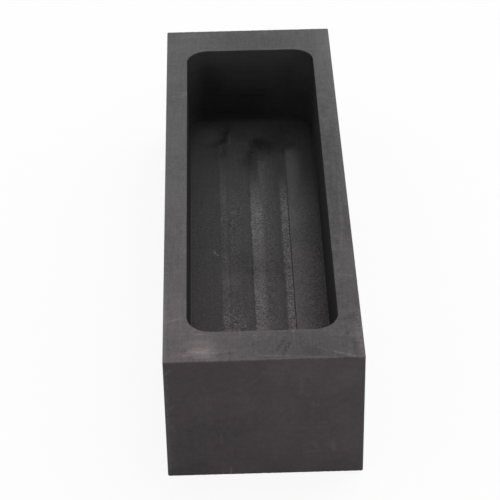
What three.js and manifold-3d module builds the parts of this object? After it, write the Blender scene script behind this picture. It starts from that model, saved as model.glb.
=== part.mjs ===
// Graphite ingot mould: one machined block, with a round-cornered pocket milled into its top face.
// Lengths are in millimetres and +Z is up. The origin is the centre of the underside, and the
// block's length runs along Y.

import * as THREE from "three";
import { mergeVertices } from "three/addons/utils/BufferGeometryUtils.js";
import Module from "manifold-3d";

// Block
const blockLength = 130;
const blockWidth = 40;
const blockHeight = 30;
const edgeBreak = 0.3; // flat filed along every outer edge

// Pocket
const sideWall = 4.7;
const endWall = 9.6;
const pocketDepth = 20;
const mouthBreak = 0.2; // flat filed round the pocket's mouth

// End mill that cut the pocket
const cutterDiameter = 10;
const cutterNose = 0.5; // radius worn on the corner of its teeth

// The two lengthwise passes that cleared the middle of the floor, inside the pass round the walls
const passShift = 0.2; // both lie this far towards +X of an even spacing
const leftPassDrop = 0.06; // depth below the floor that the pass round the walls left
const rightPassDrop = 0.18;
const leftPassSetback = 5.2; // from the end walls to the pass's ends
const rightPassSetback = 9.4;

// How far a cutting solid runs past the surface that it opens
const overrun = 1;

// Smoothness of the round corners and of the fillet at the foot of the walls
const cornerSteps = 10;
const filletSteps = 6;

// Sizes that follow from the ones above
const pocketWidth = blockWidth - 2 * sideWall;
const pocketLength = blockLength - 2 * endWall;
const floorHeight = blockHeight - pocketDepth;
const cornerRadius = cutterDiameter / 2;
const flatRadius = cornerRadius - cutterNose;

const wasm = await Module();
wasm.setup();

// A closed three.js geometry as a solid that can be joined and cut.
function solidFrom(geometry) {
  const bare = geometry.clone();
  bare.deleteAttribute("normal");
  bare.deleteAttribute("uv");
  const merged = mergeVertices(bare);
  const mesh = new wasm.Mesh({
    numProp: 3,
    vertProperties: merged.attributes.position.array,
    triVerts: new Uint32Array(merged.index.array),
  });
  return new wasm.Manifold(mesh);
}

// The solid's surface as a three.js geometry, with flat-shaded faces.
function geometryFrom(solid) {
  const mesh = solid.getMesh();
  const indexed = new THREE.BufferGeometry();
  indexed.setAttribute("position", new THREE.BufferAttribute(mesh.vertProperties, mesh.numProp));
  indexed.setIndex(new THREE.BufferAttribute(mesh.triVerts, 1));
  const faceted = indexed.toNonIndexed();
  faceted.computeVertexNormals();
  return faceted;
}

// A rectangle centred on the origin with its four corners cut off at 45 degrees.
function chamferedRectangle(width, length, cut) {
  const x = width / 2;
  const y = length / 2;
  return new THREE.Shape([
    new THREE.Vector2(x, cut - y),
    new THREE.Vector2(x, y - cut),
    new THREE.Vector2(x - cut, y),
    new THREE.Vector2(cut - x, y),
    new THREE.Vector2(-x, y - cut),
    new THREE.Vector2(-x, cut - y),
    new THREE.Vector2(cut - x, -y),
    new THREE.Vector2(x - cut, -y),
  ]);
}

// A rectangle centred on the origin with round corners.
function roundedRectangle(width, length, radius) {
  const x = width / 2 - radius;
  const y = length / 2 - radius;
  const quarter = Math.PI / 2;
  const shape = new THREE.Shape();
  shape.absarc(x, y, radius, 0, quarter);
  shape.absarc(-x, y, radius, quarter, 2 * quarter);
  shape.absarc(-x, -y, radius, 2 * quarter, 3 * quarter);
  shape.absarc(x, -y, radius, 3 * quarter, 4 * quarter);
  shape.closePath();
  return shape;
}

// The trace of a round cutter that moved along Y: a slot with half-round ends.
function slotOutline(centreX, length, radius) {
  const y = length / 2 - radius;
  const shape = new THREE.Shape();
  shape.absarc(centreX, y, radius, 0, Math.PI);
  shape.absarc(centreX, -y, radius, Math.PI, 2 * Math.PI);
  shape.closePath();
  return shape;
}

// An outline raised from one height to another. Its two end faces are smaller by inset all round,
// and the corner between is a flat for one step and a quarter round for more.
function raised(outline, low, high, inset = 0, steps = 1) {
  const geometry = new THREE.ExtrudeGeometry(outline, {
    depth: high - low - 2 * inset,
    curveSegments: cornerSteps,
    bevelEnabled: inset > 0,
    bevelThickness: inset,
    bevelSize: inset,
    bevelOffset: -inset,
    bevelSegments: steps,
  });
  geometry.translate(0, 0, low + inset);
  return solidFrom(geometry);
}

function block() {
  const outline = chamferedRectangle(blockWidth, blockLength, edgeBreak);
  return raised(outline, 0, blockHeight, edgeBreak);
}

// The space that the cutter cleared, with the fillet that its worn corner left at the foot.
function pocketSpace() {
  const outline = roundedRectangle(pocketWidth, pocketLength, cornerRadius);
  return raised(outline, floorHeight, blockHeight + overrun, cutterNose, filletSteps);
}

// The wedge that the file took off round the mouth: it widens at 45 degrees from mouthBreak
// below the top face up to overrun above it.
function mouthSpace() {
  const rise = mouthBreak + overrun;
  const outline = roundedRectangle(
    pocketWidth + 2 * rise,
    pocketLength + 2 * rise,
    cornerRadius + rise,
  );
  const low = blockHeight - mouthBreak;
  return raised(outline, low, low + 2 * rise + overrun, rise);
}

// One lengthwise pass of the cutter, a little below the floor around it.
function passSpace(side, drop, setback) {
  const firstCentre = pocketWidth / 2 - cornerRadius;
  const passSpacing = (2 * firstCentre) / 3;
  const centreX = (side * passSpacing) / 2 + passShift;
  const outline = slotOutline(centreX, pocketLength - 2 * setback, flatRadius);
  return raised(outline, floorHeight - drop, floorHeight + cutterNose);
}

function mouldBlock() {
  const solid = block()
    .subtract(pocketSpace())
    .subtract(mouthSpace())
    .subtract(passSpace(-1, leftPassDrop, leftPassSetback))
    .subtract(passSpace(1, rightPassDrop, rightPassSetback));
  const graphite = new THREE.MeshStandardMaterial({
    color: 0x565454,
    roughness: 0.62,
    metalness: 0.15,
  });
  const mesh = new THREE.Mesh(geometryFrom(solid), graphite);
  mesh.name = "mould_block";
  return mesh;
}

const ingotMould = new THREE.Group();
ingotMould.add(mouldBlock());

export default ingotMould;
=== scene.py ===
"""Graphite ingot mould: a machined block with a round-cornered pocket, on a pale studio floor.

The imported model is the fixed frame. The finished block stands for its one solid, with the cutter's
passes in the pocket floor, the fillet at the foot of the walls, and edges that handling has worn.
Lengths are in metres, +Z is up, and the origin is the centre of the underside.
"""

import math

import bpy
import numpy as np
from bpy.props import FloatProperty, FloatVectorProperty, IntProperty, PointerProperty
from mathutils import Matrix, Vector


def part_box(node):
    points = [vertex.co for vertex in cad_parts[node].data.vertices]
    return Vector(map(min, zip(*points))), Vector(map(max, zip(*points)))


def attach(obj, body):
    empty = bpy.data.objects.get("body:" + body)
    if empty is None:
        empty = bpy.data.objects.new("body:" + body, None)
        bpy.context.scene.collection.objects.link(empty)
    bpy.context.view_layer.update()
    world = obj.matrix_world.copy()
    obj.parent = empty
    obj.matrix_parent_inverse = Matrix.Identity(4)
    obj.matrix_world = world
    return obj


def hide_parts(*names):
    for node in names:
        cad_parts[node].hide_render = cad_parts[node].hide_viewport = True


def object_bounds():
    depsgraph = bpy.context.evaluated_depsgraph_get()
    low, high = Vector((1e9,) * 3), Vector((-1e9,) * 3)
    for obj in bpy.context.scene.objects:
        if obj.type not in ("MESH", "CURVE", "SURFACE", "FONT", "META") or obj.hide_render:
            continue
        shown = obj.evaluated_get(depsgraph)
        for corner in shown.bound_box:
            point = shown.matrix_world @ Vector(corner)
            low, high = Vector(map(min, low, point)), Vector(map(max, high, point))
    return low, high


bl_info = {
    "name": "Graphite ingot mould",
    "version": (1, 0, 0),
    "blender": (4, 5, 0),
    "location": "3D View > Sidebar > Ingot mould",
    "description": "Builds a milled graphite ingot mould and the studio stage that it stands on",
    "category": "Add Mesh",
}

MM = 0.001
QUARTER = math.pi / 2.0

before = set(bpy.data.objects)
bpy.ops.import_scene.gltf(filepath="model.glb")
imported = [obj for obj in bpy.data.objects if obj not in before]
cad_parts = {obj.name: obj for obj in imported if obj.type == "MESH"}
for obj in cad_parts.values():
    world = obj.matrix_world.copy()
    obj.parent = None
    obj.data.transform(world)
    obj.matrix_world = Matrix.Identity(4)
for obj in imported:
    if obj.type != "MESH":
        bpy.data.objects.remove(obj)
CAD_LOW, CAD_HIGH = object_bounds()
NODE = "mould_block"
NODE_LOW, NODE_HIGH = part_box(NODE)


def maker(kind, **fixed):
    """A function that makes properties of one kind from a name, a description and a default."""

    def make(name, description, default):
        return kind(name=name, description=description, default=default, **fixed)

    return make


IN_METRES = {"unit": "LENGTH", "precision": 5}
length = maker(FloatProperty, min=0.0, subtype="DISTANCE", **IN_METRES)
angle = maker(FloatProperty, subtype="ANGLE", unit="ROTATION")
share = maker(FloatProperty, min=0.0, max=1.0)
colour = maker(FloatVectorProperty, size=3, min=0.0, max=1.0, subtype="COLOR")
shift = maker(FloatVectorProperty, size=2, subtype="XYZ", **IN_METRES)
point = maker(FloatVectorProperty, size=3, subtype="XYZ", **IN_METRES)


class MouldSizes(bpy.types.PropertyGroup):
    """Sizes of the block. The outer length, width and height come from the frame."""

    side_wall: length("Side wall", "Thickness of the two long walls", 4.7 * MM)
    end_wall: length("End wall", "Thickness of the two short walls", 9.6 * MM)
    pocket_depth: length("Pocket depth", "From the top face to the floor", 20 * MM)
    corner_radius: length("Corner radius", "Half the cutter's diameter", 5 * MM)
    foot_fillet: length("Foot fillet", "Radius at the foot of the walls", 0.5 * MM)
    mouth_round: length("Mouth round", "Wear round the pocket's mouth", 0.12 * MM)
    edge_round: length("Edge round", "Wear along the outer edges", 0.2 * MM)
    corner_round: length("Corner round", "Radius of the upright edges", 0.42 * MM)
    left_drop: length("Left pass drop", "Left pass below the floor", 0.06 * MM)
    right_drop: length("Right pass drop", "Right pass below the floor", 0.18 * MM)
    left_setback: length("Left setback", "End wall to the left pass", 5.2 * MM)
    right_setback: length("Right setback", "End wall to the right pass", 9.4 * MM)
    pocket_turn: angle("Pocket turn", "As seen from above", math.radians(-0.1))
    pocket_shift: shift("Pocket shift", "From the block's middle", (0.13 * MM, -0.22 * MM))
    wear_seed: IntProperty(name="Wear seed", description="Places of the chips", default=4)


class GraphiteFinish(bpy.types.PropertyGroup):
    """Colours and surface of the machined graphite."""

    top_colour: colour("Top colour", "Milled top face", (0.0522, 0.052, 0.052))
    side_colour: colour("Side colour", "Sawn outer faces", (0.0408, 0.0405, 0.0405))
    wall_colour: colour("Wall colour", "Pocket walls", (0.0256, 0.0255, 0.0255))
    floor_colour: colour("Floor colour", "Pocket floor", (0.0327, 0.0325, 0.0325))
    warmth: colour("Warmth", "Share added at the browner near end", (0.19, 0.0, 0.045))
    top_roughness: share("Top roughness", "Of the top face", 0.50)
    side_roughness: share("Side roughness", "Of the outer faces", 0.60)
    wall_roughness: share("Wall roughness", "Of the pocket walls", 0.65)
    floor_roughness: share("Floor roughness", "Of the pocket floor", 0.40)
    top_gloss: share("Top gloss", "Specular level of the top face", 0.35)
    side_gloss: share("Side gloss", "Specular level of the outer faces", 0.25)
    wall_gloss: share("Wall gloss", "Specular level of the pocket walls", 0.12)
    floor_gloss: share("Floor gloss", "Specular level of the pocket floor", 0.13)


class StudioStage(bpy.types.PropertyGroup):
    """The floor, the lamp and the camera."""

    floor_colour: colour("Floor colour", "Pale studio floor", (0.86, 0.86, 0.86))
    floor_lift: share("Floor lift", "How far the floor is lifted towards white", 0.9)
    floor_side: length("Floor side", "Of the square floor", 6.0)
    key_power: FloatProperty(name="Key power", description="Of the lamp", default=7.0, unit="POWER")
    key_side: length("Key side", "Of the square lamp", 0.9)
    key_place: point("Key place", "Where the lamp hangs", (0.35, 0.45, 1.15))
    fill_strength: share("Fill strength", "Of the light from all round", 0.7)
    lens: FloatProperty(name="Lens", description="Focal length", default=143.24, unit="CAMERA")
    camera_place: point("Camera place", "Where it stands", (-0.007149, -0.368102, 0.276533))
    camera_aim: point("Camera aim", "What it looks at", (-0.001829, -0.028189, 0.03))
    camera_roll: angle("Camera roll", "About the line of sight", math.radians(-1.0))


# Surfaces

# Half the width of the bank beside a pass, and how many times wider it gets round the ends
BANK = 0.05 * MM
RUN_OUT = 70.0

# The points before and after a rounded edge lie this far from it
MARGIN = 0.05 * MM
EDGE_STEPS = 4

# Steps up the fillet, of which the lowest count as floor, up a pocket wall and down the outside
FILLET_STEPS, FLOOR_STEPS, WALL_STEPS, SIDE_STEPS = 6, 2, 8, 24

# Wear of an edge: how uneven it is, with how many waves at most, and the number of its chips,
# half the width of the widest and the depth of the deepest
MOUTH_WEAR = (0.3, 160, 26, 0.8 * MM, 0.16 * MM)
RIM_WEAR = (0.2, 260, 34, 0.9 * MM, 0.12 * MM)
FOOT_WEAR = (0.2, 260, 26, 0.9 * MM, 0.12 * MM)


def eased(value, low, high):
    """Zero below low, one above high, and a smooth step between: 3t^2 - 2t^3."""
    t = np.clip((value - low) / (high - low), 0.0, 1.0)
    return t * t * (3.0 - 2.0 * t)


def stations(stops, step):
    """Positions that hold every stop, with even gaps of at most step between them."""
    runs = [
        np.linspace(a, b, max(1, math.ceil((b - a) / step)) + 1)[:-1]
        for a, b in zip(stops[:-1], stops[1:])
    ]
    return np.concatenate([*runs, [stops[-1]]])


def steps_up(count):
    """Even steps as shares of the whole, of which the last is 1."""
    return np.linspace(0.0, 1.0, count + 1)[1:]


def turned(points, turn):
    """Points x, y turned about the middle: x cos a - y sin a and x sin a + y cos a."""
    cosine, sine = math.cos(turn), math.sin(turn)
    return points @ np.array([[cosine, sine], [-sine, cosine]])


def quads(number):
    """The faces between the points of a grid, from the points' numbers."""
    cells = [number[:-1, :-1], number[:-1, 1:], number[1:, 1:], number[1:, :-1]]
    return np.stack(cells, axis=-1).reshape(-1, 4)


def pass_edges(sizes, half_width):
    """The two inner passes as (centre, half width, drop, setback from the end walls).

    The clear width between the walls' passes is shared evenly by the cutter's centres.
    """
    radius = sizes.corner_radius
    spacing = 2.0 * (half_width - radius) / 3.0
    flat = radius - sizes.foot_fillet
    left = (-spacing / 2.0, flat, sizes.left_drop, sizes.left_setback)
    right = (spacing / 2.0, flat, sizes.right_drop, sizes.right_setback)
    return left, right


def pass_depth(x, y, cut, half_length):
    """Depth of one pass under the floor, at the points x, y.

    The pass is all points within its radius of a line along Y, so its ends are half rounds. Its
    bank is steep along the sides and eases out round the ends, where the cutter was lifted.
    """
    centre, radius, drop, setback = cut
    past = np.maximum(np.abs(y) - (half_length - setback - radius), 0.0)
    reach = np.hypot(x - centre, past)
    ease = BANK * (1.0 + RUN_OUT * past / radius)
    return drop * eased(radius - reach, -ease, ease)


def floor_grid(sizes, half_width, half_length, height):
    """The pocket floor as a grid of points, rows along Y and columns along X.

    A column at x runs between the two ends of the outline there: the straight end, or in the
    corners a circle, y = c + sqrt(r^2 - (x - c)^2). Columns close up at the edges of the passes,
    and rows towards the ends.
    """
    across_step, along_step, fine_step = 0.32 * MM, 0.62 * MM, 0.3 * MM
    corner_steps, fine_from = 10, 0.66
    radius = sizes.corner_radius - sizes.foot_fillet
    straight = half_width - sizes.corner_radius
    cuts = pass_edges(sizes, half_width)
    edges = sorted(centre + side * reach for centre, reach, _, _ in cuts for side in (-1.0, 1.0))
    stops = [-straight]
    for edge in edges:
        stops += [edge - 2.0 * BANK, edge - BANK, edge + BANK, edge + 2.0 * BANK]
    middle = stations([*stops, straight], across_step)
    corner = straight + radius * np.sin(QUARTER * steps_up(corner_steps))
    x = np.concatenate([-corner[::-1], middle, corner])
    inside = np.maximum(np.abs(x) - straight, 0.0)
    ends = half_length - sizes.corner_radius
    reach = ends + np.sqrt(np.maximum(radius**2 - inside**2, 0.0))

    longest = ends + radius
    change = fine_from * longest
    coarse, fine = stations([0.0, change], along_step), stations([change, longest], fine_step)
    half = np.concatenate([coarse[:-1], fine]) / longest
    along = np.concatenate([-half[:0:-1], half])
    grid_x = np.broadcast_to(x, (len(along), len(x)))
    grid_y = along[:, None] * reach
    depth = np.maximum(*(pass_depth(grid_x, grid_y, cut, half_length) for cut in cuts))
    return np.stack([grid_x, grid_y, height - depth], axis=-1)


def border(rows, columns):
    """Numbers of a grid's border points, counter-clockwise from its right near corner."""
    number = np.arange(rows * columns).reshape(rows, columns)
    right, far = number[:-1, -1], number[-1, :0:-1]
    left, near = number[:0:-1, 0], number[0, :-1]
    return np.concatenate([right, far, left, near])


def pocket_normals(points, inner):
    """Outward directions round the floor's border: away from the nearest point of the inner
    rectangle whose corners are the centres of the corner arcs."""
    away = points - np.clip(points, -inner, inner)
    return away / np.linalg.norm(away, axis=1, keepdims=True)


def outer_loop(counts, half_width, half_length, corner_round):
    """Points and outward normals round the block, two for each step of the pocket's border.

    Each side has twice its count of steps, counter-clockwise from the right near corner. The
    three steps on either side of a corner turn it, on an arc of corner_round, and the rest of
    the side is straight and even.
    """
    turn_steps = 3
    turn = np.arange(turn_steps) * (QUARTER / 2.0) / turn_steps
    points, normals = [], []
    reach = np.array([half_width, half_length])
    for side, count in enumerate(counts):
        out = np.array([math.cos(side * QUARTER), math.sin(side * QUARTER)])
        on = np.array([-out[1], out[0]])
        across, half = abs(out @ reach), abs(on @ reach)
        straight = half - corner_round
        even = np.linspace(-straight, straight, 2 * count - 2 * turn_steps + 1)
        swing = np.concatenate([turn - QUARTER / 2.0, np.zeros(len(even)), turn[1:]])
        ends = np.full(turn_steps, straight)
        base = np.concatenate([-ends, even, ends[1:]])
        normal = np.cos(swing)[:, None] * out + np.sin(swing)[:, None] * on
        centre = (across - corner_round) * out + base[:, None] * on
        points.append(centre + corner_round * normal)
        normals.append(normal)
    return np.concatenate(points), np.concatenate(normals)


def ripple(count, waves, rng):
    """A closed line of count values from about -1 to 1: a fifth of a sum of 14 sines, each with a
    random phase and a random number of waves."""
    sines = 14
    turn = np.arange(count) / count * 2.0 * math.pi
    order = rng.integers(waves // 6, waves, sines)
    phase = rng.uniform(0.0, 2.0 * math.pi, sines)
    return np.sin(order[:, None] * turn + phase[:, None]).sum(axis=0) / 5.0


def chips(count, perimeter, rng, number, widest, deepest):
    """Bites out of an edge, as a depth at each point round it. A bite of half width w and depth d
    at s is d (1 - ((x - s) / w)^2)^2, and the deepest bite at a point counts."""
    narrowest, shallowest = 0.35, 0.25
    at = np.arange(count) / count
    middle = rng.uniform(0.0, 1.0, number)
    width = rng.uniform(narrowest, 1.0, number) * widest / perimeter
    depth = rng.uniform(shallowest, 1.0, number) ** 2 * deepest
    apart = np.abs(at - middle[:, None])
    apart = np.minimum(apart, 1.0 - apart) / width[:, None]
    return (depth[:, None] * np.maximum(1.0 - apart**2, 0.0) ** 2).max(axis=0)


def worn(radius, count, perimeter, wear, rng):
    """Radius of a worn edge at each point round it: radius (1 + uneven * ripple), never under
    0.4 of radius, and more where a chip is out."""
    uneven, waves, *bites = wear
    swell = 1.0 + uneven * ripple(count, waves, rng)
    return radius * np.maximum(swell, 0.4) + chips(count, perimeter, rng, *bites)


def round_over(radius):
    """Distances from the two faces of a rounded edge, as a pair of arrays, one row a step.

    The first row lies on the first face, MARGIN before the arc, and the last on the second face,
    MARGIN past it. With t from 0 to 90 degrees, the arc is r (1 - sin t) along the first face and
    r (1 - cos t) along the second.
    """
    turn = np.linspace(0.0, QUARTER, EDGE_STEPS + 1)[:, None]
    inward = radius * (1.0 - np.sin(turn))
    down = radius * (1.0 - np.cos(turn))
    flat = np.zeros_like(radius)
    inward = np.vstack([radius + MARGIN, inward, flat])
    down = np.vstack([flat, down, radius + MARGIN])
    return inward, down


class Skin:
    """One closed surface, gathered patch by patch: points, faces and each face's finish."""

    def __init__(self):
        self.points = []
        self.faces = []
        self.finishes = []
        self.count = 0

    def add_points(self, points):
        """Adds points, and returns their numbers."""
        flat = np.asarray(points, dtype=float).reshape(-1, 3)
        self.points.append(flat)
        numbers = self.count + np.arange(len(flat))
        self.count += len(flat)
        return numbers

    def add_faces(self, faces, finish):
        """Adds an array of faces, one a row, that all have one finish."""
        self.faces += faces.tolist()
        self.finishes.append(np.full(len(faces), finish))

    def add_ring(self, before, distances, heights, base, normals, finish):
        """Adds a closed ring at base + distance * normal, and its strip to the ring before."""
        flat = base + np.asarray(distances)[..., None] * normals
        rise = np.broadcast_to(heights, len(base))
        ring = self.add_points(np.column_stack([flat, rise]))
        strip = [before, ring, np.roll(ring, -1), np.roll(before, -1)]
        self.add_faces(np.stack(strip, axis=1), finish)
        return ring

    def mesh(self, name):
        """The gathered surface as a smooth-shaded Blender mesh."""
        mesh = bpy.data.meshes.new(name)
        mesh.from_pydata(np.concatenate(self.points).tolist(), [], self.faces)
        mesh.polygons.foreach_set("material_index", np.concatenate(self.finishes))
        mesh.polygons.foreach_set("use_smooth", np.ones(len(mesh.polygons), dtype=bool))
        mesh.update()
        return mesh


TOP, SIDE, WALL, FLOOR = range(4)


def add_pocket(skin, sizes, half, top, rng):
    """The pocket from its floor up to its mouth. At a slope t, its fillet of radius r has run
    r sin t outwards and r (1 - cos t) up. Returns the numbers of the mouth's points, and how many
    steps each side of its border has."""
    fillet, floor = sizes.foot_fillet, top - sizes.pocket_depth
    grid = floor_grid(sizes, *half, floor)
    rows, columns = grid.shape[:2]
    ring = border(rows, columns)
    base = grid.reshape(-1, 3)[ring, :2]
    normals = pocket_normals(base, half - sizes.corner_radius)
    offset, turn = np.array(sizes.pocket_shift), sizes.pocket_turn
    base, normals = turned(base, turn) + offset, turned(normals, turn)
    grid[..., :2] = turned(grid[..., :2], turn) + offset
    skin.add_faces(quads(skin.add_points(grid).reshape(rows, columns)), FLOOR)

    for step, slope in enumerate(QUARTER * steps_up(FILLET_STEPS)):
        rise = floor + fillet * (1.0 - math.cos(slope))
        surface = FLOOR if step < FLOOR_STEPS else WALL
        ring = skin.add_ring(ring, fillet * math.sin(slope), rise, base, normals, surface)

    mouth = worn(sizes.mouth_round, len(base), 4.0 * half.sum(), MOUTH_WEAR, rng)
    down, outward = round_over(mouth)
    foot = floor + fillet
    for level in steps_up(WALL_STEPS):
        rise = foot + level * (top - down[0] - foot)
        ring = skin.add_ring(ring, fillet, rise, base, normals, WALL)
    for drop, out in zip(down[1:], outward[1:]):
        ring = skin.add_ring(ring, fillet + out, top - drop, base, normals, TOP)
    return ring, [rows - 1, columns - 1, rows - 1, columns - 1]


def add_outside(skin, sizes, mouth, counts, low, high, rng):
    """The rim from the pocket's mouth outwards, the outer faces ring below ring, and the
    underside about its middle."""
    half = np.array([high.x - low.x, high.y - low.y]) / 2.0
    base, normals = outer_loop(counts, *half, sizes.corner_round)
    count, perimeter = len(base), 4.0 * half.sum()
    most = sizes.corner_round - 2.0 * MARGIN

    edge = worn(sizes.edge_round, count, perimeter, RIM_WEAR, rng)
    inward, down = round_over(np.minimum(edge, most))
    flat = base - inward[0][:, None] * normals
    ring = skin.add_points(np.column_stack([flat, np.full(count, high.z)]))
    even, odd = ring[0::2], ring[1::2]
    rim = [mouth, even, odd, np.roll(even, -1), np.roll(mouth, -1)]
    skin.add_faces(np.stack(rim, axis=1), TOP)
    for inset, drop in zip(inward[1:], down[1:]):
        ring = skin.add_ring(ring, -inset, high.z - drop, base, normals, TOP)

    edge = worn(sizes.edge_round, count, perimeter, FOOT_WEAR, rng)
    inward, up = round_over(np.minimum(edge, most))
    upper, lower = high.z - down[-1], low.z + up[-1]
    for level in steps_up(SIDE_STEPS):
        rise = upper + level * (lower - upper)
        ring = skin.add_ring(ring, 0.0, rise, base, normals, SIDE)
    for inset, lift in zip(inward[-2::-1], up[-2::-1]):
        ring = skin.add_ring(ring, -inset, low.z + lift, base, normals, SIDE)
    centre = np.repeat(skin.add_points([[0.0, 0.0, low.z]]), count)
    skin.add_faces(np.stack([ring, centre, np.roll(ring, -1)], axis=1), SIDE)


def pocket_half(sizes):
    """Half the pocket's width and length."""
    half = (NODE_HIGH - NODE_LOW) / 2.0
    return np.array([half.x - sizes.side_wall, half.y - sizes.end_wall])


def block_mesh(sizes):
    """The whole block as one skin that starts at the pocket floor, climbs its walls, crosses the
    rim, goes down the outside and closes under the block."""
    rng = np.random.default_rng(sizes.wear_seed)
    skin = Skin()
    mouth, counts = add_pocket(skin, sizes, pocket_half(sizes), NODE_HIGH.z, rng)
    add_outside(skin, sizes, mouth, counts, NODE_LOW, NODE_HIGH, rng)
    return skin.mesh("mould_block_finish")


# Materials


def put(kind, sockets=None, tree=None, **settings):
    """A new node with its settings, whose sockets take values or other nodes' outputs. It goes
    into the tree of those outputs, or else into the one that is named."""
    sockets = sockets or {}
    linked = [key for key, value in sockets.items() if isinstance(value, bpy.types.NodeSocket)]
    tree = tree or sockets[linked[0]].id_data
    node = tree.nodes.new(kind)
    for name, value in settings.items():
        setattr(node, name, value)
    for key, value in sockets.items():
        if key in linked:
            tree.links.new(value, node.inputs[key])
        else:
            node.inputs[key].default_value = value
    return node


def maths(operation, *values, clamp=False):
    """The result of a Math node."""
    sockets = dict(enumerate(values))
    node = put("ShaderNodeMath", sockets, operation=operation, use_clamp=clamp)
    return node.outputs[0]


def times(product, *factors):
    """The product of two or more values."""
    for factor in factors:
        product = maths("MULTIPLY", product, factor)
    return product


def vectors(operation, *values, **named):
    """The result of a Vector Math node, a number where the operation gives one."""
    sockets = {**dict(enumerate(values)), **named}
    node = put("ShaderNodeVectorMath", sockets, operation=operation)
    number = operation in ("DISTANCE", "DOT_PRODUCT", "LENGTH")
    return node.outputs["Value" if number else "Vector"]


def axes(vector):
    """A vector's parts, by the names X, Y and Z."""
    return put("ShaderNodeSeparateXYZ", {0: vector}).outputs


def between(value, low, high, bottom=0.0, top=1.0):
    """value eased from bottom, at or below low, to top, at or above high."""
    sockets = {"Value": value, 1: low, 2: high, 3: bottom, 4: top}
    node = put("ShaderNodeMapRange", sockets, interpolation_type="SMOOTHSTEP")
    return node.outputs["Result"]


def falling(value, low, high):
    """value eased from 1, at or below low, to 0, at or above high."""
    return between(value, low, high, 1.0, 0.0)


def noise(vector, size, detail=2.0, roughness=0.5):
    """Noise from 0 to 1 whose features are about size across."""
    sockets = {"Vector": vector, "Scale": 1.0 / size, "Detail": detail, "Roughness": roughness}
    return put("ShaderNodeTexNoise", sockets).outputs["Fac"]


def firm(value):
    """Noise with more contrast: 0 where it is at most 0.3, and 1 where it is at least 0.7."""
    return between(value, 0.3, 0.7)


def grain_nodes(given):
    """Fine-grained graphite: large faint clouds, soft specks, and single grains as cells, each
    with a tone of its own."""
    clouds = noise(given["Vector"], 11.0 * MM, detail=4.0, roughness=0.6)
    fineness = maths("DIVIDE", 1.0, given["Speck Size"])
    scaled = vectors("SCALE", given["Vector"], Scale=fineness)
    specks = noise(scaled, 1.0, roughness=0.6)
    cells = put("ShaderNodeTexVoronoi", {"Vector": scaled, "Scale": 1.6})
    return {
        "Clouds": firm(clouds),
        "Specks": firm(specks),
        "Grains": axes(cells.outputs["Color"])["X"],
    }


def line_nodes(given):
    """Fine parallel tool marks: noise drawn out along the axes where Stretch is small."""
    fineness = maths("DIVIDE", 1.0, given["Line Width"])
    drawn = vectors("MULTIPLY", given["Vector"], given["Stretch"])
    scaled = vectors("SCALE", drawn, Scale=fineness)
    return {"Lines": firm(noise(scaled, 1.0, roughness=0.6))}


def patch_nodes(given):
    """A rubbed or dull place: an ellipse about Centre that fades out at Reach, with a ragged rim."""
    offset = vectors("SUBTRACT", given["Vector"], given["Centre"])
    far = vectors("LENGTH", vectors("DIVIDE", offset, given["Reach"]))
    rag = noise(given["Vector"], 1.6 * MM, detail=3.0)
    ragged = maths("MULTIPLY_ADD", rag, 0.9, maths("SUBTRACT", far, 0.45))
    return {"Mask": falling(ragged, 0.25, 1.0)}


def edge_nodes(given):
    """Distance outside a rectangle with round corners in the plane of X and Y, negative inside:
    |max(q, 0)| + min(max(qx, qy), 0) - r, where q = |p| - half size + r."""
    radius = given["Radius"]
    corner = put("ShaderNodeCombineXYZ", {"X": radius, "Y": radius}).outputs[0]
    inner = vectors("SUBTRACT", given["Half Size"], corner)
    folded = vectors("ABSOLUTE", given["Vector"])
    past = axes(vectors("SUBTRACT", folded, inner))
    right = maths("MAXIMUM", past["X"], 0.0)
    up = maths("MAXIMUM", past["Y"], 0.0)
    square = maths("MULTIPLY_ADD", right, right, times(up, up))
    inside = maths("MINIMUM", maths("MAXIMUM", past["X"], past["Y"]), 0.0)
    total = maths("ADD", maths("SQRT", square), inside)
    return {"Distance": maths("SUBTRACT", total, radius)}


def scratch_nodes(given):
    """A straight mark: one within a width of the line between two points, broken up by noise."""
    line = vectors("SUBTRACT", given["To"], given["From"])
    offset = vectors("SUBTRACT", given["Vector"], given["From"])
    along = vectors("DOT_PRODUCT", offset, line)
    whole = vectors("DOT_PRODUCT", line, line)
    run = maths("DIVIDE", along, whole, clamp=True)
    gap = vectors("DISTANCE", offset, vectors("SCALE", line, Scale=run))
    near = falling(gap, 0.0, given["Width"])
    broken = between(noise(given["Vector"], 0.7 * MM, detail=3.0), 0.3, 0.55)
    return {"Mark": times(near, broken)}


ORIGIN = (0.0, 0.0, 0.0)

# By group: the function that fills it, and its inputs with their defaults, besides Vector
GROUPS = {
    "graphite_grain": (grain_nodes, {"Speck Size": 0.4 * MM}),
    "tool_lines": (line_nodes, {"Stretch": (1.0, 0.05, 1.0), "Line Width": 0.4 * MM}),
    "rubbed_patch": (patch_nodes, {"Centre": ORIGIN, "Reach": (3.0 * MM, 3.0 * MM, 1.0)}),
    "edge_distance": (edge_nodes, {"Half Size": (20.0 * MM, 65.0 * MM, 0.0), "Radius": 5.0 * MM}),
    "scratch": (scratch_nodes, {"From": ORIGIN, "To": (10.0 * MM, 0.0, 0.0), "Width": 0.2 * MM}),
}


def node_group(name):
    """A shader node group. The function that fills it takes the group's inputs, and returns the
    numbers that it puts out, by name."""
    work, inputs = GROUPS[name]
    group = bpy.data.node_groups.new(name, "ShaderNodeTree")
    for key, default in {"Vector": ORIGIN, **inputs}.items():
        kind = "NodeSocketVector" if isinstance(default, tuple) else "NodeSocketFloat"
        socket = group.interface.new_socket(name=key, in_out="INPUT", socket_type=kind)
        socket.default_value = default
    values = work(group.nodes.new("NodeGroupInput").outputs)
    for key in values:
        group.interface.new_socket(name=key, in_out="OUTPUT", socket_type="NodeSocketFloat")
    put("NodeGroupOutput", values)
    return group


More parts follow.
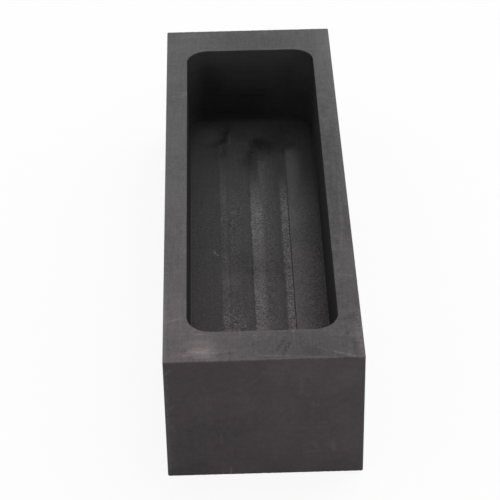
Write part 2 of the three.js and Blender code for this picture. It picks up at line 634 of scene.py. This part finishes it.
def place(name, vector, sockets):
    """The outputs of a node group that is used at a vector, with values of its own. The group
    itself is made on its first use."""
    group = bpy.data.node_groups.get(name) or node_group(name)
    return put("ShaderNodeGroup", {"Vector": vector, **sockets}, node_tree=group).outputs


def tool_lines(vector, stretch, width):
    """Tool marks as a value from 0 to 1."""
    return place("tool_lines", vector, {"Stretch": stretch, "Line Width": width})["Lines"]


def edge_distance(vector, half_width, half_length, radius):
    """How far outside the outline of the block or of its pocket a point is."""
    sockets = {"Half Size": (half_width, half_length, 0.0), "Radius": radius}
    return place("edge_distance", vector, sockets)["Distance"]


def shaded(base, warmth, vector, factor):
    """A colour made darker or lighter by a factor that varies over the surface, and warmer
    towards the near end: base * (1 + warmth * nearness) * factor."""
    nearness = falling(axes(vector)["Y"], -62.0 * MM, 30.0 * MM)
    extra = [part * more for part, more in zip(base, warmth)]
    tinted = vectors("MULTIPLY_ADD", nearness, extra, tuple(base))
    return vectors("SCALE", tinted, Scale=factor)


def weighted(terms):
    """One plus the sum of weight * (value - middle) over the terms."""
    total = 1.0 - sum(weight * middle for _, weight, middle in terms)
    for value, weight, _ in terms:
        total = maths("MULTIPLY_ADD", value, weight, total)
    return total


def varied(value, middle, spread):
    """From middle - spread where value is 0 to middle + spread where it is 1."""
    return between(value, 0.0, 1.0, middle - spread, middle + spread)


# A face for marks is the axis across it, its level there, and how far patches reach along that
# axis. On the face, u and v are the other two axes, in their order and in millimetres.
FAR_REACH = 99.0 * MM
ONE_FACE = 9.0 * MM


def in_face(axis, level, u, v):
    """A vector with level on one axis, and u and v, in millimetres, on the other two."""
    values = [u * MM, v * MM]
    values.insert(axis, level)
    return values


def scratched(vector, face, start_u, start_v, end_u, end_v, width):
    """The mask of a straight mark on a face, from its numbers in millimetres."""
    axis, level, _ = face
    sockets = {
        "From": in_face(axis, level, start_u, start_v),
        "To": in_face(axis, level, end_u, end_v),
        "Width": width * MM,
    }
    return place("scratch", vector, sockets)["Mark"]


def rubbed(vector, face, u, v, reach_u, reach_v):
    """The mask of a patch on a face, from its numbers in millimetres."""
    axis, level, depth = face
    sockets = {
        "Centre": in_face(axis, level, u, v),
        "Reach": in_face(axis, depth, reach_u, reach_v),
    }
    return place("rubbed_patch", vector, sockets)["Mask"]


def marked(vector, face, marks, patches):
    """Marks and patches on a face as terms for weighted. A negative weight darkens."""
    terms = [(scratched(vector, face, *mark), weight, 0.0) for *mark, weight in marks]
    terms += [(rubbed(vector, face, *patch), weight, 0.0) for *patch, weight in patches]
    return terms


def empty_material(name, viewport_colour):
    """A material whose node tree is empty."""
    material = bpy.data.materials.new(name)
    material.use_nodes = True
    material.diffuse_color = (*viewport_colour, 1.0)
    material.node_tree.nodes.clear()
    return material


def machined(name, viewport_colour, speck_size):
    """A material, its Object coordinates and the graphite's grain there."""
    material = empty_material(name, viewport_colour)
    vector = put("ShaderNodeTexCoord", tree=material.node_tree).outputs["Object"]
    return material, vector, place("graphite_grain", vector, {"Speck Size": speck_size})


def finished(material, colour_socket, roughness, gloss, height, bump):
    """The material with its shader and bump, from the parts worked out in its own tree."""
    normal = put("ShaderNodeBump", {"Height": height, "Distance": bump}).outputs["Normal"]
    sockets = {
        "Base Color": colour_socket,
        "Roughness": roughness,
        "Specular IOR Level": gloss,
        "Normal": normal,
    }
    shader = put("ShaderNodeBsdfPrincipled", sockets)
    put("ShaderNodeOutputMaterial", {"Surface": shader.outputs["BSDF"]})
    return material


# A mark is u and v where it starts, u and v where it ends, its width and its weight. A patch is u
# and v of its centre, its reaches along u and v, and its weight.
TOP_MARKS = (
    (-15.8, -63.1, -10, -61.2, 0.7, 0.5),
    (-14.2, -60.9, -10, -60.4, 0.6, 0.3),
    (-17.4, -64.1, -10.4, -63.5, 0.4, 0.35),
    (-15.2, -63.6, -9.6, -63, 0.3, -0.3),
    (-14, -61.9, -10, -62.4, 0.3, 0.3),
    (-17.6, -60, -14.6, -59.9, 0.5, 0.25),
    (-15.4, -59.3, -11, -58.6, 0.6, 0.2),
    (-13.4, -56.4, -12, -56.3, 0.7, 0.4),
    (-1.9, -57.2, -1.4, -57.3, 0.4, 0.6),
    (-2.6, -59.4, -3.2, -61, 0.4, 0.35),
    (-1.3, -63.6, 4.6, -63.9, 0.4, 0.7),
    (5, -64, 12, -64.6, 0.35, 0.35),
    (-10.4, -62.6, -4.8, -61.5, 0.45, 0.25),
    (-9.4, -63.4, -5.6, -62.6, 0.8, -0.2),
    (4.5, -58.2, 3.2, -60.8, 0.7, -0.4),
    (3.2, -60.8, 2.4, -62.4, 0.5, -0.25),
    (5.3, -59.8, 3.6, -63.6, 0.7, -0.45),
    (6.1, -55.8, 6.1, -56.2, 0.45, 0.9),
    (6.2, -57.6, 6.1, -59.6, 0.35, 0.35),
    (5.7, -60.2, 5.4, -61.3, 0.4, 0.4),
    (10.2, -61.3, 14.2, -63, 0.45, 0.35),
    (14.2, -63, 17.8, -64.5, 0.55, 0.7),
    (17.9, -59, 18, -63.5, 0.35, -0.3),
    (19.3, -50, 19.3, -64.6, 1.1, 0.7),
    (19.4, 64, 19.4, -12, 1.2, 0.3),
    (-19.6, -52.2, -16, -51, 0.35, 0.7),
    (-19.4, 36.4, -15.4, 36, 0.35, 0.35),
    (-19.4, 33.9, -15.4, 34.8, 0.9, 0.2),
    (-15.5, 35.9, -15.5, 35, 0.7, 0.3),
    (-17.8, -5, -16.5, -3.3, 0.7, 0.2),
    (-16.5, -3.3, -15.5, -3.6, 0.6, 0.2),
    (-17.8, -21.4, -15.5, -18.4, 0.7, 0.22),
    (-15.5, -27.6, -15.5, -28.6, 0.7, 0.45),
    (15.6, 5.8, 17.2, 3, 0.6, 0.3),
    (17.2, 3, 18.8, -0.8, 0.6, 0.3),
    (18.4, -4, 18.1, -21, 0.5, 0.35),
    (18.1, -21, 16.6, -35, 0.6, 0.35),
    (16.4, -37.7, 19, -38.1, 0.6, 0.5),
    (15.6, -23.4, 17.2, -24, 0.8, 0.3),
    (15.8, 33.5, 19.2, 31.6, 0.9, 0.15),
    (17.4, 39.8, 18.4, 39.6, 0.8, 0.3),
)
TOP_PATCHES = (
    (-12, -61.8, 3.4, 1.9, 0.7),
    (-13, -62.8, 4.6, 1.5, 0.35),
    (-12.2, -60, 4.6, 3.2, 0.4),
    (-13.6, -59.4, 3.6, 1.6, 0.15),
    (-11.6, -63.8, 3.4, 1.5, 0.5),
    (-16.6, -62.6, 3, 1.5, 0.25),
    (-8.8, -58.2, 2, 2.6, -0.15),
    (-9.4, -61.6, 1.2, 0.9, 0.3),
    (-17.5, -50, 4, 12, 0.1),
    (-17.6, -22, 3, 17, -0.14),
    (8, -61, 20, 8.5, -0.52),
    (10.6, -62.8, 4.6, 2.6, -0.15),
    (19, -12, 7, 62, -0.5),
    (15.2, 20, 2.8, 52, -0.24),
    (15.2, -49, 2.8, 12, -0.26),
    (19.4, -52.6, 2.4, 5, -0.3),
    (18.6, -33, 1.8, 14, 0.25),
    (-1, 59.5, 15, 8.5, -0.3),
    (9.8, 59.6, 9, 8, -0.18),
    (-14.5, 62.8, 4.4, 2.6, 0.22),
    (18.4, 58, 3, 10, 0.25),
    (16.2, -57.4, 4.6, 3, 0.22),
)


def top_material(looks):
    """The milled top face: clouds, faint lines both ways, places that rubbing has paled, and a
    paler edge, most of all where the left rim is handled near its end."""
    material, vector, grain = machined("milled_top", looks.top_colour, speck_size=0.45 * MM)
    along = tool_lines(vector, (1.0, 0.08, 1.0), 0.6 * MM)
    across = tool_lines(vector, (0.1, 1.0, 1.0), 0.7 * MM)
    outer = edge_distance(vector, NODE_HIGH.x, NODE_HIGH.y, 0.4 * MM)
    parts = axes(vector)
    left = falling(parts["X"], -19.9 * MM, -19.0 * MM)
    near = falling(parts["Y"], -58.0 * MM, -26.0 * MM)
    terms = [
        (grain["Clouds"], 0.35, 0.5),
        (grain["Specks"], 0.38, 0.5),
        (along, 0.22, 0.5),
        (across, 0.15, 0.5),
        (between(outer, -0.7 * MM, 0.0), 0.15, 0.0),
        (times(left, near), 0.5, 0.0),
        *marked(vector, (2, NODE_HIGH.z, FAR_REACH), TOP_MARKS, TOP_PATCHES),
    ]
    return finished(
        material,
        shaded(looks.top_colour, looks.warmth, vector, weighted(terms)),
        varied(grain["Clouds"], looks.top_roughness, 0.04),
        looks.top_gloss,
        maths("MULTIPLY_ADD", across, 0.5, grain["Specks"]),
        bump=0.004 * MM,
    )


NEAR_MARKS = (
    (-7, 0, -7, 1.8, 0.35, 1.2),
    (7.4, 25.4, 7.3, 21.4, 0.8, 0.25),
    (7.6, 25.8, 9.2, 25.7, 0.6, 0.2),
    (8.2, 21.2, 8.8, 20.6, 0.7, 0.2),
    (9.4, 18.4, 10.8, 18.2, 0.5, 0.2),
    (9.6, 13.5, 12.6, 13.4, 0.5, 0.2),
    (10.8, 12, 12.4, 12.1, 0.6, 0.15),
    (7, 12.2, 9.2, 12, 0.5, 0.15),
    (8, 5.7, 11, 5.8, 0.4, 0.15),
    (8, 5.1, 16, 4.9, 0.35, -0.15),
    (13.6, 8, 13.9, 6.2, 0.8, 0.35),
    (9.8, 8.4, 10.3, 7, 0.8, 0.25),
    (-8.9, 10.6, -8.8, 9, 0.5, 0.3),
    (-18.9, 18.2, -18.3, 18.8, 0.6, 0.5),
    (-19.2, 27.2, -18.4, 28, 0.6, 0.35),
    (-18.8, 13.6, -18.4, 12.2, 0.7, 0.35),
    (-19.5, 28, -19.5, 2, 0.8, 0.35),
)
# Painted light on the near end's upper right, and painted shade on its lower left
NEAR_LIGHT_AND_SHADE = (
    (12, 27, 14, 7, 0.2),
    (-14, 7, 11, 13, -0.2),
)
RIGHT_MARKS = (
    (-41, 22, -34, 19.5, 0.35, 0.5),
    (-12, 8, -10.5, 11.5, 0.4, 0.6),
    (18, 24.5, 31, 23.6, 0.3, 0.45),
    (36, 13, 37, 12.4, 0.7, 0.7),
    (47, 6, 52, 7.8, 0.4, 0.5),
)
RIGHT_PATCHES = (
    (6, 17, 30, 11, 0.22),
    (0, 0, 50, 3.5, 0.25),
)
LEFT_MARKS = (
    (-48, 9, -39, 11.5, 0.35, 0.5),
    (-20, 25, -14, 26, 0.4, 0.45),
    (9, 12, 10.4, 14.6, 0.5, 0.6),
    (28, 19, 44, 17.5, 0.3, 0.45),
)
LEFT_PATCHES = (
    (-6, 15, 34, 12, 0.22),
    (4, 0, 50, 3.5, 0.25),
)
BACK_MARKS = (
    (-11, 20, -4, 22.5, 0.35, 0.5),
    (7, 9, 8.6, 6.5, 0.5, 0.6),
)
BACK_PATCHES = ((2, 18, 14, 9, 0.2),)


def side_material(looks):
    """The sawn outer faces: fine level lines, faint clouds and a few light knocks, and stray
    longer lines in bundles everywhere but on the near end. The near end has painted light on its
    upper right and painted shade on its lower left."""
    material, vector, grain = machined("sawn_side", looks.side_colour, speck_size=0.5 * MM)
    lines = tool_lines(vector, (0.05, 0.05, 1.0), 0.4 * MM)
    streaks = tool_lines(vector, (0.025, 0.025, 1.0), 0.35 * MM)
    bundles = between(noise(vector, 15.0 * MM, detail=1.0), 0.4, 0.65)
    past_end = between(axes(vector)["Y"], -64.9 * MM, -62.0 * MM)
    strays = times(between(streaks, 0.6, 1.0), bundles, past_end)
    terms = [
        (grain["Clouds"], 0.25, 0.5),
        (grain["Specks"], 0.15, 0.5),
        (noise(vector, 1.3 * MM), 0.4, 0.5),
        (lines, 0.15, 0.5),
        (strays, 0.22, 0.0),
        *marked(vector, (1, NODE_LOW.y, FAR_REACH), NEAR_MARKS, NEAR_LIGHT_AND_SHADE),
        *marked(vector, (0, NODE_HIGH.x, ONE_FACE), RIGHT_MARKS, RIGHT_PATCHES),
        *marked(vector, (0, NODE_LOW.x, ONE_FACE), LEFT_MARKS, LEFT_PATCHES),
        *marked(vector, (1, NODE_HIGH.y, ONE_FACE), BACK_MARKS, BACK_PATCHES),
    ]
    return finished(
        material,
        shaded(looks.side_colour, looks.warmth, vector, weighted(terms)),
        varied(lines, looks.side_roughness, 0.05),
        looks.side_gloss,
        maths("MULTIPLY_ADD", lines, 0.8, grain["Specks"]),
        bump=0.005 * MM,
    )


# Painted light and shade on the far end wall: lighter low on the right, darker high on the right and
# on the left
FAR_WALL_SHADING = (
    (10.4, 15, 10.4, 9, 0.42),
    (13.2, 29.6, 4.5, 3.2, -0.3),
    (-9.2, 22, 4.8, 7, -0.32),
)
# Painted light where the far left corner turns towards the light
FAR_CORNER_LIGHT = ((-14.6, 16, 4, 19, 0.42),)


def wall_material(looks, sizes):
    """The pocket walls: smooth, with the level lines of the cutter's steps down. Painted light from
    the floor pales them near the floor. The two end walls are painted lighter, with painted shade
    that darkens them towards the foot, and a thin band of painted shade darkens the foot of every
    wall, which is rougher there."""
    material, vector, grain = machined("pocket_wall", looks.wall_colour, speck_size=0.4 * MM)
    floor, end = NODE_HIGH.z - sizes.pocket_depth, pocket_half(sizes)[1]
    lines = tool_lines(vector, (0.04, 0.04, 1.0), 0.9 * MM)
    parts = axes(vector)
    outward = maths("ABSOLUTE", parts["Y"])
    # Painted light on the end walls, and painted shade on them that deepens towards the foot
    end_wall_shading = between(outward, end - 5.4 * MM, end - 0.4 * MM)
    low = falling(parts["Z"], floor + 2.0 * MM, floor + 21.5 * MM)
    # Painted shade in the foot of every wall
    foot = falling(parts["Z"], floor + 0.2 * MM, floor + 0.7 * MM)
    # Painted light from the floor on the lower walls
    pale = falling(parts["Z"], floor + 0.5 * MM, floor + 10.0 * MM)
    terms = [
        (grain["Clouds"], 0.2, 0.5),
        (lines, 0.2, 0.5),
        (end_wall_shading, 0.9, 0.0),
        (times(end_wall_shading, low), -1.35, 0.0),
        (foot, -0.25, 0.0),
        (pale, 0.15, 0.0),
        *marked(vector, (1, end, FAR_REACH), (), FAR_WALL_SHADING),
        *marked(vector, (1, end - 2.0 * MM, 4.0 * MM), (), FAR_CORNER_LIGHT),
    ]
    factor = maths("MAXIMUM", weighted(terms), 0.1)
    faint_warmth = [0.3 * part for part in looks.warmth]
    return finished(
        material,
        shaded(looks.wall_colour, faint_warmth, vector, factor),
        between(foot, 0.0, 1.0, looks.wall_roughness, 0.8),
        looks.wall_gloss,
        maths("MULTIPLY_ADD", lines, 0.8, grain["Specks"]),
        bump=0.003 * MM,
    )


# Torn tracks along the floor, in millimetres: x where one begins, is full, starts to fade and
# has gone, y where it has gone and where it is full, and how pale and how grainy it is. Their
# paleness is partly the grain and partly a painted sheen, and the last two fade out towards the
# right wall as painted shade of that wall.
TRACKS = (
    (-8, -7.6, -6.7, -5.8, 42, 20, 0.6, 0.9),
    (-7.9, -7.5, -6.5, -5.6, -14, -27, 1.5, 1.9),
    (-6, -5.6, -2, -0.4, 45.4, 44.6, 0.2, 0.4),
    (-6.1, -5.6, -5.2, -1.6, 40, 14, 0.42, 1),
    (-6.1, -5.6, -4.5, -0.9, -15, -27, 0.93, 1.8),
    (1.1, 1.7, 2.2, 4.8, 37.2, 35.6, 0.75, 0.6),
    (-1, -0.6, 1, 3.2, 34, 12, 1.9, 2),
    (1.4, 2.2, 3, 6.4, 38.4, 30, 0.5, 0.9),
    (5.9, 6.7, 7.8, 8, 34, 12, 1.8, 2.7),
    (7.6, 8.6, 9.2, 13, 42.6, 38.8, 1.05, 0.6),
    (8, 8.15, 8.6, 18, 34, 8, 1.6, 0.75),
    (9, 11, 14, 16, 24, -10, 0.5, 0.95),
)
FLOOR_MARKS = (
    (-9.6, -0.6, -9.4, -1.5, 0.45, 1.3),
    (-9.4, -1.5, -8.7, -2.3, 0.45, 2),
    (-8.7, -2.3, -8, -1.9, 0.4, 0.6),
    (-10.2, 43.2, -7.2, 45.2, 2, -0.25),
    (-7.4, 45, -6.2, 49, 1.9, -0.3),
    (-6.9, 45.6, -6.1, 48.8, 1, -0.16),
    (-6, 48.6, -5.6, 52.6, 1.7, -0.25),
    (-5.4, 44.8, -5.3, 48.4, 0.7, 0.5),
    (-7.6, 43.6, -7.3, 40.6, 0.6, 0.35),
    (-6.5, 42.4, -6.4, 39, 0.9, -0.25),
    (0.8, 44, -1.6, 35.5, 2.4, -0.25),
    (7.8, 40.2, 10, 43.4, 1.6, -0.35),
)
FLOOR_PATCHES = (
    (1.3, 42.8, 2.4, 4.4, -0.2),
    (3.3, 43, 2.8, 4.8, -0.2),
    (5, 43.6, 2.4, 4.2, -0.16),
    (3.6, 43.4, 6.6, 7.6, -0.2),
    (7.4, 45, 2.2, 6, -0.15),
    (2.6, 45.6, 2.6, 1.6, -0.22),
    (-6.2, 46, 1, 2.4, -0.32),
    (-8, 44, 1.8, 1.5, -0.14),
    (-6, 41, 6.4, 5.4, -0.16),
    (0.5, 37.5, 1.6, 6, -0.2),
    (-1.6, 36.4, 2.6, 8, -0.25),
    (-3.5, 48.8, 4, 3.4, -0.1),
    (6, 49, 5, 4.4, -0.2),
    (-11, 48.5, 3.8, 5.4, 0.3),
    (0.4, -9, 3.6, 3.6, -0.45),
    (0.6, -11, 3, 11, -0.3),
    (2, -19, 2.2, 11, -0.3),
    (4.4, -10, 2.4, 6, -0.25),
    (10.6, -16, 3.6, 18, -0.3),
    (7, -12, 1.8, 10, -0.25),
    (-3.2, -4, 3.2, 6, -0.18),
    (-7, 0, 2, 3.4, -0.3),
    (3, -3, 16, 9, -0.13),
    (-6.2, -12, 3.4, 3.2, 0.35),
)


def torn_tracks(x, y):
    """The tone, with its painted sheen, and the grain of the tracks, each the strongest of all the
    tracks'.
    """
    torn_sheen = loose_sheen = 0.0
    for begin, full, fading, gone, far, near, tone, crumb in TRACKS:
        rise = between(x, begin * MM, full * MM)
        fall = falling(x, fading * MM, gone * MM)
        grown = falling(y, near * MM, far * MM)
        track = times(rise, fall, grown)
        torn_sheen = maths("MAXIMUM", times(track, tone), torn_sheen)
        loose_sheen = maths("MAXIMUM", times(track, crumb), loose_sheen)
    return torn_sheen, loose_sheen


def floor_material(looks, sizes):
    """The pocket floor: passes side by side, burnished or ripped to pale grain, each palest where
    its cutter's edge came round. The pale tracks are partly that grain and partly a painted sheen
    of the light from behind, so they grow plainer towards the far end, where the passes end and the
    far wall hides that light. A painted shadow of the step runs along the right pass's edge, the
    tracks' edges sway except beside it, and painted shade darkens the floor along the foot of the
    walls, most at the end walls."""
    material, vector, grain = machined("pocket_floor", looks.floor_colour, speck_size=0.42 * MM)
    face = (2, NODE_HIGH.z - sizes.pocket_depth, FAR_REACH)
    half_width, half_length = pocket_half(sizes)
    lines = tool_lines(vector, (1.0, 0.05, 1.0), 0.45 * MM)
    parts = axes(vector)
    x, y = parts["X"], parts["Y"]
    seam_x = 7.97 * MM
    from_seam = maths("ABSOLUTE", maths("SUBTRACT", x, seam_x))
    # Painted shadow of the step along the right pass's edge, fading out towards the far end
    step_shadow = times(falling(from_seam, 0.04 * MM, 0.16 * MM), falling(y, 8.0 * MM, 32.0 * MM))
    sway = between(from_seam, 0.1 * MM, 1.2 * MM, 0.0, 1.1 * MM)
    rag = maths("SUBTRACT", noise(vector, 1.3 * MM, detail=4.0, roughness=0.6), 0.5)
    torn_sheen, loose_sheen = torn_tracks(maths("MULTIPLY_ADD", rag, sway, x), y)
    uneven = between(noise(vector, 16.0 * MM, detail=1.0), 0.35, 0.65, 0.8, 1.2)
    torn_sheen = times(torn_sheen, uneven)

    # Painted sheen on the grainy tracks: full near, fading towards the far end, and calmer in one
    # patch
    calm_and_sheen = between(y, 12.0 * MM, 36.0 * MM, 1.0, 0.35)
    calm = rubbed(vector, face, -2.0, -7.0, 12.0, 15.0)
    calm_and_sheen = maths("MULTIPLY_ADD", calm, -0.35, calm_and_sheen)
    loose_sheen = times(maths("ADD", loose_sheen, 0.55), calm_and_sheen)
    sharp = between(grain["Specks"], 0.1, 0.9, -0.65, -0.05)
    crumbs = maths("ADD", maths("POWER", grain["Grains"], 1.8), sharp)

    outline = edge_distance(vector, half_width, half_length, sizes.corner_radius)
    outward = maths("ABSOLUTE", y)
    terms = [
        (grain["Clouds"], 0.15, 0.5),
        (lines, 0.14, 0.5),
        (torn_sheen, 1.0, 0.0),
        (times(loose_sheen, crumbs), 1.0, 0.0),
        # Painted shade along the foot of the walls, and more near the end walls
        (between(outline, -1.1 * MM, 0.0), -0.5, 0.0),
        (between(outward, half_length - 2.2 * MM, half_length), -0.3, 0.0),
        (step_shadow, -0.9, 0.0),
        *marked(vector, face, FLOOR_MARKS, FLOOR_PATCHES),
    ]
    factor = maths("MAXIMUM", weighted(terms), 0.15)
    smooth = looks.floor_roughness
    return finished(
        material,
        shaded(looks.floor_colour, looks.warmth, vector, factor),
        between(torn_sheen, 0.0, 1.0, smooth, smooth + 0.1),
        looks.floor_gloss,
        times(grain["Specks"], maths("ADD", loose_sheen, 0.2)),
        bump=0.006 * MM,
    )


class MOULD_OT_block(bpy.types.Operator):
    """Build the finished block and its four machined surfaces"""

    bl_idname = "mould.block"
    bl_label = "Mould block"

    def execute(self, context):
        sizes, looks = context.scene.mould_sizes, context.scene.graphite_finish
        piece = bpy.data.objects.new("mould_block_finish", block_mesh(sizes))
        context.scene.collection.objects.link(piece)
        # In the order of the numbers TOP, SIDE, WALL and FLOOR
        materials = (
            top_material(looks),
            side_material(looks),
            wall_material(looks, sizes),
            floor_material(looks, sizes),
        )
        for material in materials:
            piece.data.materials.append(material)
        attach(piece, "root")
        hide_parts(NODE)
        return {"FINISHED"}


# Stage


def floor_plane(stage):
    """A square grid in the plane of the underside: points (u, v) of an even grid, as x and y."""
    line = np.linspace(-0.5, 0.5, 3) * stage.floor_side
    u, v = np.meshgrid(line, line)
    points = np.stack([u, v, np.full(u.shape, CAD_LOW.z)], axis=-1).reshape(-1, 3)
    mesh = bpy.data.meshes.new("studio_floor")
    faces = quads(np.arange(u.size).reshape(u.shape))
    mesh.from_pydata(points.tolist(), [], faces.tolist())
    return mesh


def seen_directly(tree):
    """One for rays from the camera, and for what gloss and glass show, and zero for the rest."""
    path = put("ShaderNodeLightPath", tree=tree).outputs
    seen = maths("MAXIMUM", path["Is Camera Ray"], path["Is Glossy Ray"])
    return maths("MAXIMUM", seen, path["Is Transmission Ray"])


WHITE = (1.0, 1.0, 1.0, 1.0)


def paper_material(stage):
    """Matt pale paper that takes a soft shadow, lifted towards white where it is seen."""
    material = empty_material("studio_floor", stage.floor_colour)
    tree = material.node_tree
    paper = put("ShaderNodeBsdfDiffuse", {"Color": (*stage.floor_colour, 1.0)}, tree)
    white = put("ShaderNodeEmission", {"Color": WHITE, "Strength": 1.0}, tree)
    lift = times(seen_directly(tree), stage.floor_lift)
    sockets = {0: lift, 1: paper.outputs["BSDF"], 2: white.outputs["Emission"]}
    mixed = put("ShaderNodeMixShader", sockets)
    put("ShaderNodeOutputMaterial", {"Surface": mixed.outputs[0]})
    return material


def studio_world(stage):
    """White to the camera and in reflections, and a soft fill for everything else."""
    world = bpy.data.worlds.new("studio_world")
    world.use_nodes = True
    tree = world.node_tree
    tree.nodes.clear()
    strength = between(seen_directly(tree), 0.0, 1.0, stage.fill_strength, 1.0)
    background = put("ShaderNodeBackground", {"Color": WHITE, "Strength": strength})
    put("ShaderNodeOutputWorld", {"Surface": background.outputs[0]})
    return world


def aimed(place_at, target, roll=0.0):
    """A matrix at place_at that looks along its own -Z at target, then turned by roll."""
    place_at, target = Vector(place_at), Vector(target)
    turn = (target - place_at).to_track_quat("-Z", "Y").to_matrix().to_4x4()
    return Matrix.Translation(place_at) @ turn @ Matrix.Rotation(roll, 4, "Z")


class MOULD_OT_stage(bpy.types.Operator):
    """Lay the pale floor and set up the lamp, the world and the camera"""

    bl_idname = "mould.stage"
    bl_label = "Studio stage"

    def execute(self, context):
        scene = context.scene
        stage = scene.studio_stage
        floor = bpy.data.objects.new("studio_floor", floor_plane(stage))
        floor.data.materials.append(paper_material(stage))
        lamp = bpy.data.lights.new("key_lamp", "AREA")
        lamp.energy, lamp.size = stage.key_power, stage.key_side
        key = bpy.data.objects.new("key_lamp", lamp)
        key.matrix_world = aimed(stage.key_place, stage.camera_aim)
        optics = bpy.data.cameras.new("photo_camera")
        optics.lens, optics.sensor_width = stage.lens, 36.0
        optics.clip_start, optics.clip_end = 0.01, 50.0
        camera = bpy.data.objects.new("photo_camera", optics)
        camera.matrix_world = aimed(stage.camera_place, stage.camera_aim, stage.camera_roll)
        for thing in (floor, key, camera):
            scene.collection.objects.link(thing)
        scene.camera = camera
        scene.world = studio_world(stage)
        scene.view_settings.view_transform = "Standard"
        return {"FINISHED"}


class MOULD_PT_panel(bpy.types.Panel):
    """The mould's sizes, finish and stage, with a button for each step"""

    bl_idname = "MOULD_PT_panel"
    bl_label = "Ingot mould"
    bl_space_type = "VIEW_3D"
    bl_region_type = "UI"
    bl_category = "Ingot mould"

    def draw(self, context):
        scene = context.scene
        steps = (
            (MOULD_OT_block, scene.mould_sizes, scene.graphite_finish),
            (MOULD_OT_stage, scene.studio_stage),
        )
        for operator, *settings in steps:
            box = self.layout.box()
            for group in settings:
                for name in group.bl_rna.properties.keys():
                    if name not in ("rna_type", "name"):
                        box.prop(group, name)
            box.operator(operator.bl_idname)


SETTINGS = {
    "mould_sizes": MouldSizes,
    "graphite_finish": GraphiteFinish,
    "studio_stage": StudioStage,
}
CLASSES = (*SETTINGS.values(), MOULD_OT_block, MOULD_OT_stage, MOULD_PT_panel)


def register():
    for cls in CLASSES:
        bpy.utils.register_class(cls)
    for name, cls in SETTINGS.items():
        setattr(bpy.types.Scene, name, PointerProperty(type=cls))


def unregister():
    for name in SETTINGS:
        delattr(bpy.types.Scene, name)
    for cls in reversed(CLASSES):
        bpy.utils.unregister_class(cls)


def main():
    """Builds the block and the stage."""
    register()
    bpy.ops.mould.block()
    bpy.ops.mould.stage()


if __name__ == "__main__":
    main()
